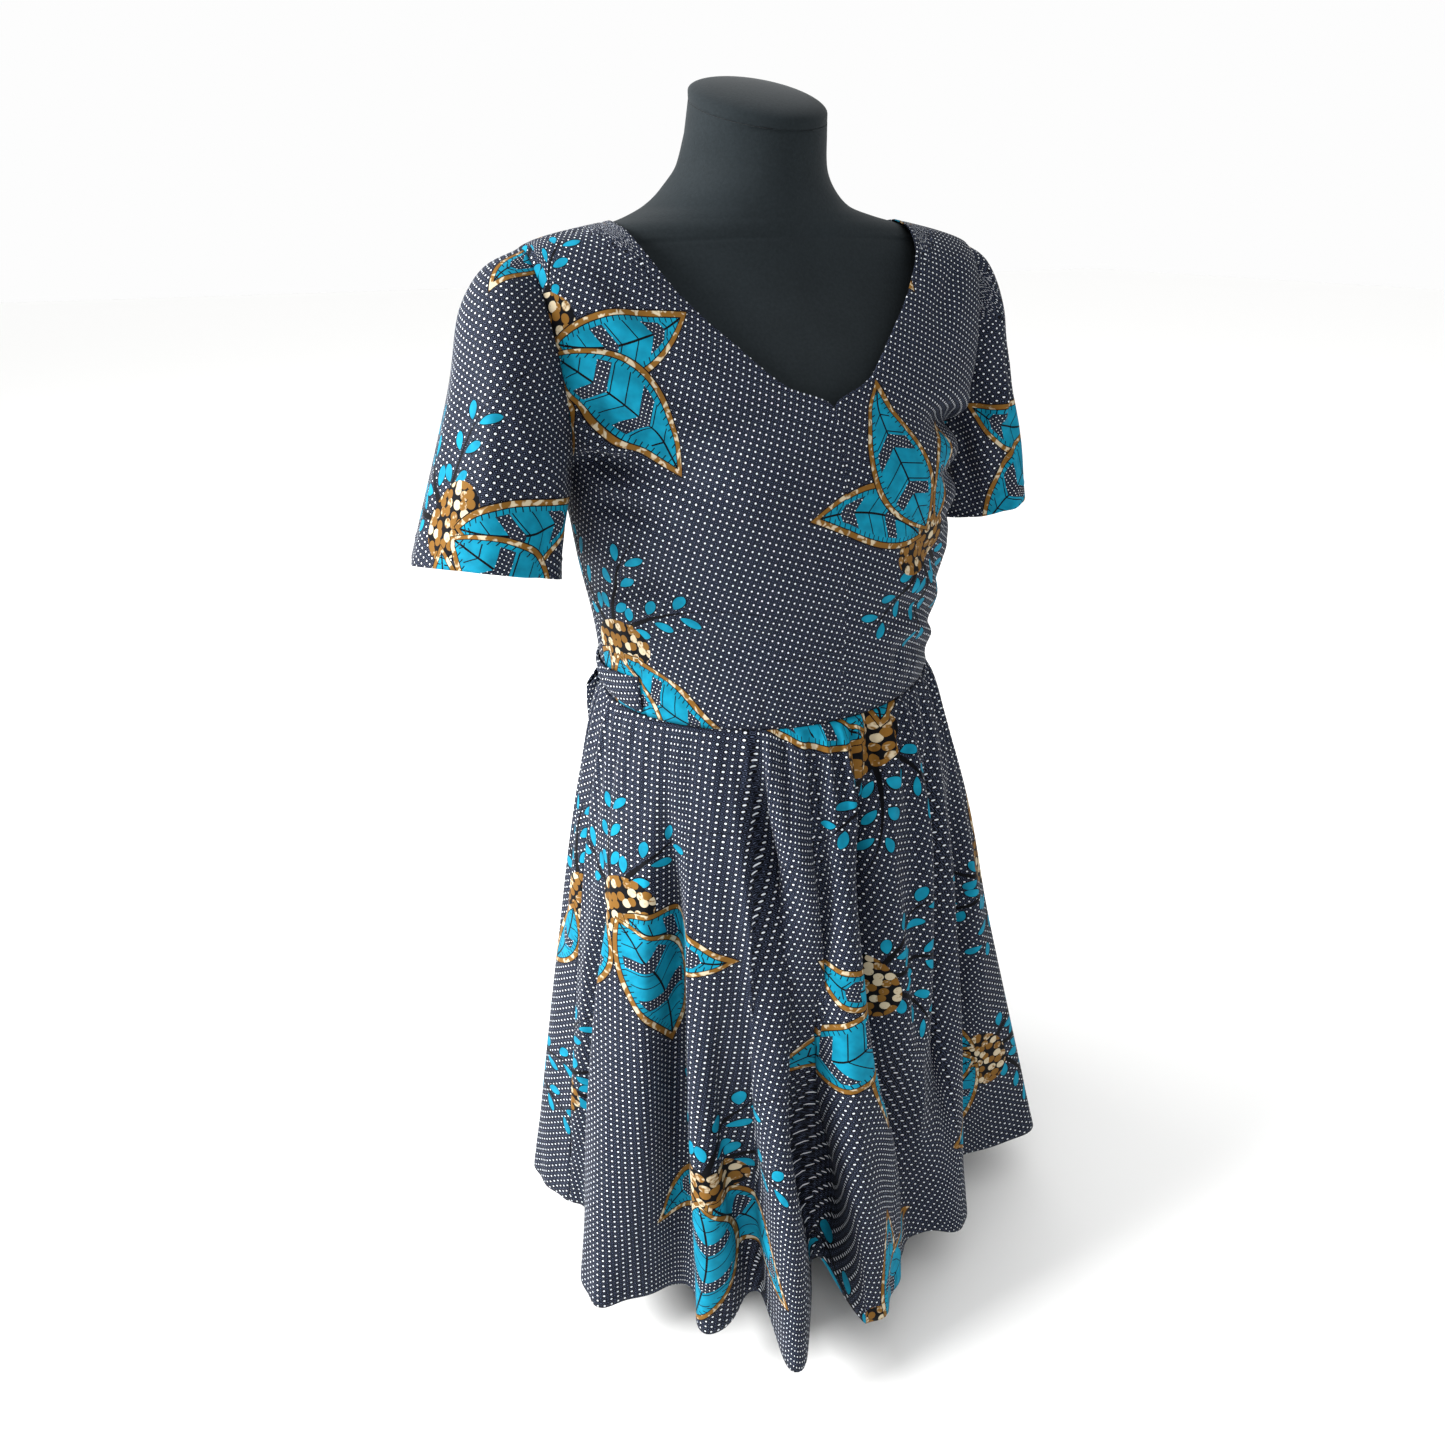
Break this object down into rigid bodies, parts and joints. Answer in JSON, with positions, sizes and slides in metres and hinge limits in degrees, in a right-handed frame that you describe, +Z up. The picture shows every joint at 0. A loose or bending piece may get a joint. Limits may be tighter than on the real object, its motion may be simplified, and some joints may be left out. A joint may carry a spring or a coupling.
{
  "type": "short sleeved flared dress on a dress form",
  "caption": "Short sleeved cotton dress with a V neck, a gathered and flared knee length skirt and a sash tied at the back, on a limbless dress form with a round base.",
  "frame": {"origin": "middle of the round base's underside, where the form stands on the floor", "axes": "+Z up, the front of the dress faces -Y, the wearer's left is +X"},
  "size_m": [0.554, 0.4935, 1.059],
  "materials": {
    "printed_cotton": "matte",
    "black_jersey": "matte",
    "black_steel": "satin"
  },
  "bodies": {
    "root": {"bodice_front": "printed_cotton", "bodice_back": "printed_cotton", "sleeve_right": "printed_cotton", "sleeve_left": "printed_cotton", "skirt_front": "printed_cotton", "skirt_back": "printed_cotton", "tie_right": "printed_cotton", "tie_left": "printed_cotton", "bow_knot": "printed_cotton", "bow_loop_right": "printed_cotton", "bow_loop_left": "printed_cotton", "bow_tail_right": "printed_cotton", "bow_tail_left": "printed_cotton", "form_torso": "black_jersey", "form_neck_cap": "black_jersey", "form_pole": "black_steel", "form_base": "black_steel"}
  },
  "joints": []
}
